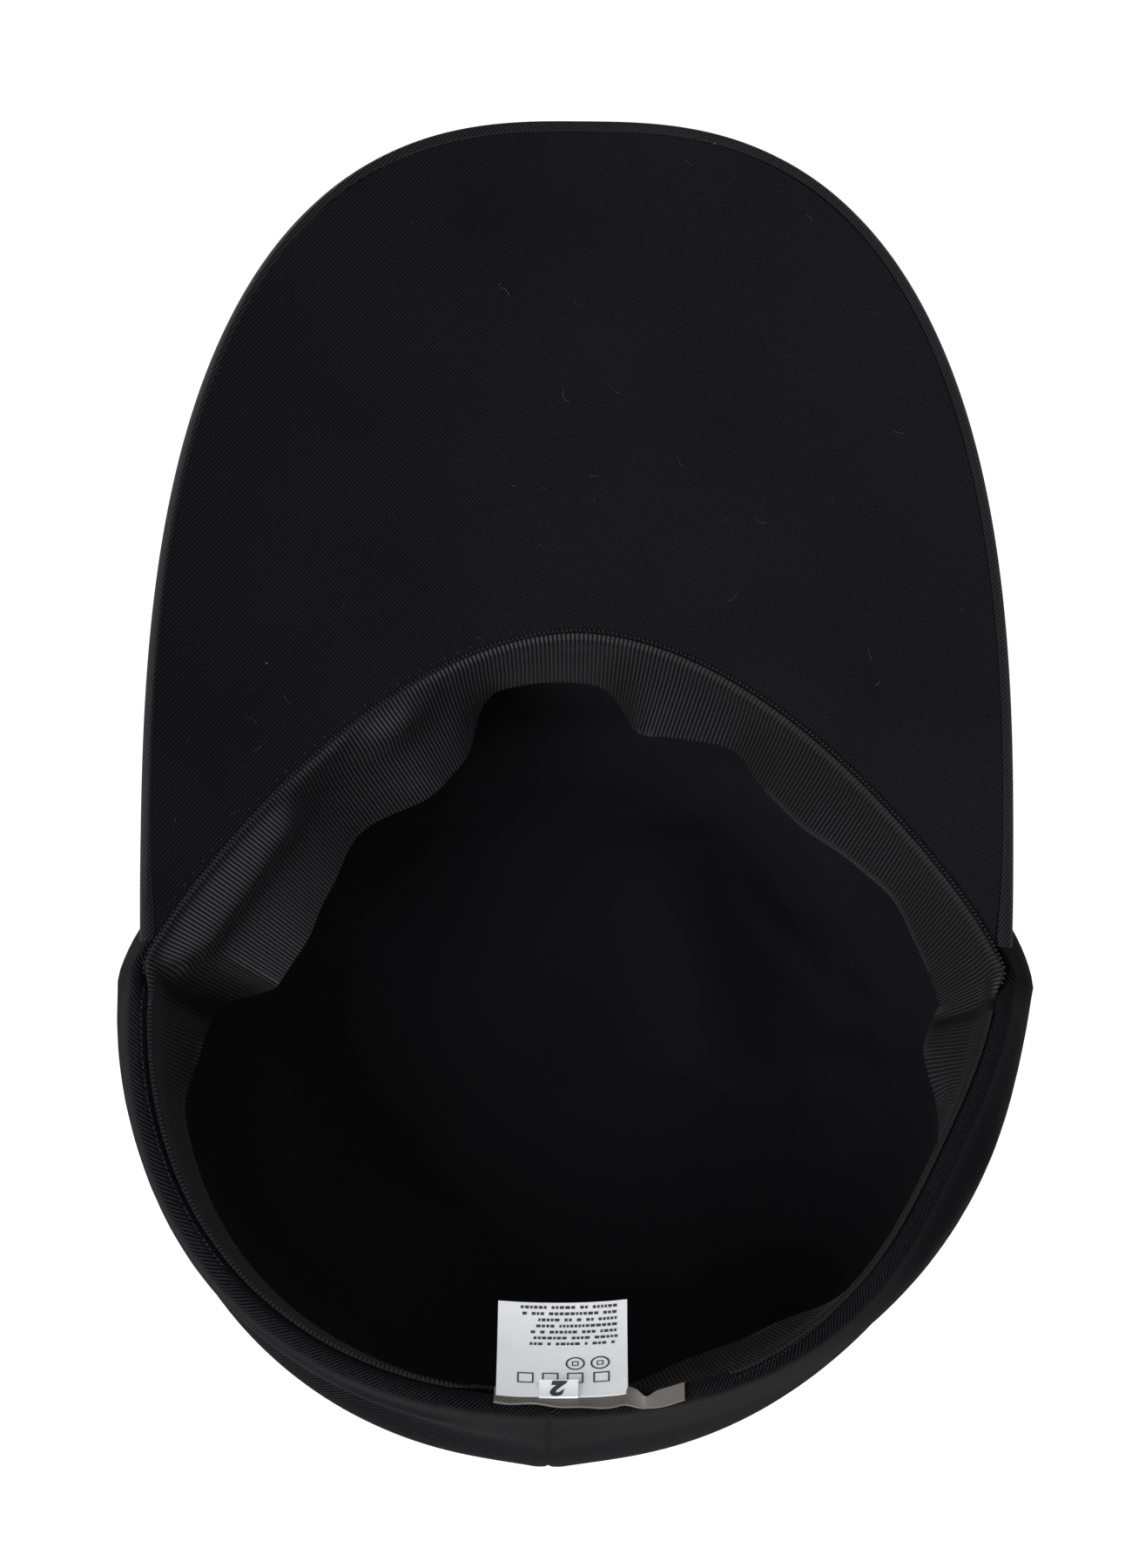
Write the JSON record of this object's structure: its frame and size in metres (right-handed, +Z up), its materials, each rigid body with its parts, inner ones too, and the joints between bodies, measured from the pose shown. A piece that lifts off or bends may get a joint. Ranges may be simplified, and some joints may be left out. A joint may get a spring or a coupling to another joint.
{
  "type": "peaked cap",
  "caption": "Soft wool cap with a long arched peak, cotton lining and ribbed sweatband, lying upside down on its crown.",
  "frame": {"origin": "on the surface that the cap lies on, under the middle of its head opening", "axes": "+Y towards the tip of the peak, +Z up and out of the head hollow, +X to the right as seen from above with the peak away"},
  "size_m": [0.2034, 0.3049, 0.1042],
  "materials": {
    "crown_wool": "black wool twill",
    "lining_cotton": "black plain cotton",
    "band_ribbon": "black ribbed ribbon",
    "peak_under_wool": "black wool twill",
    "peak_upper_wool": "black wool twill",
    "care_label_cloth": "white satin tape",
    "size_tab_cloth": "white satin tape",
    "woven_label_satin": "grey-brown satin ribbon"
  },
  "bodies": {
    "root": {"crown": "crown_wool", "lining": "lining_cotton", "sweatband": "band_ribbon", "peak_under": "peak_under_wool", "peak_upper": "peak_upper_wool", "care_label": "care_label_cloth", "size_tab": "size_tab_cloth", "woven_label": "woven_label_satin"}
  },
  "joints": []
}
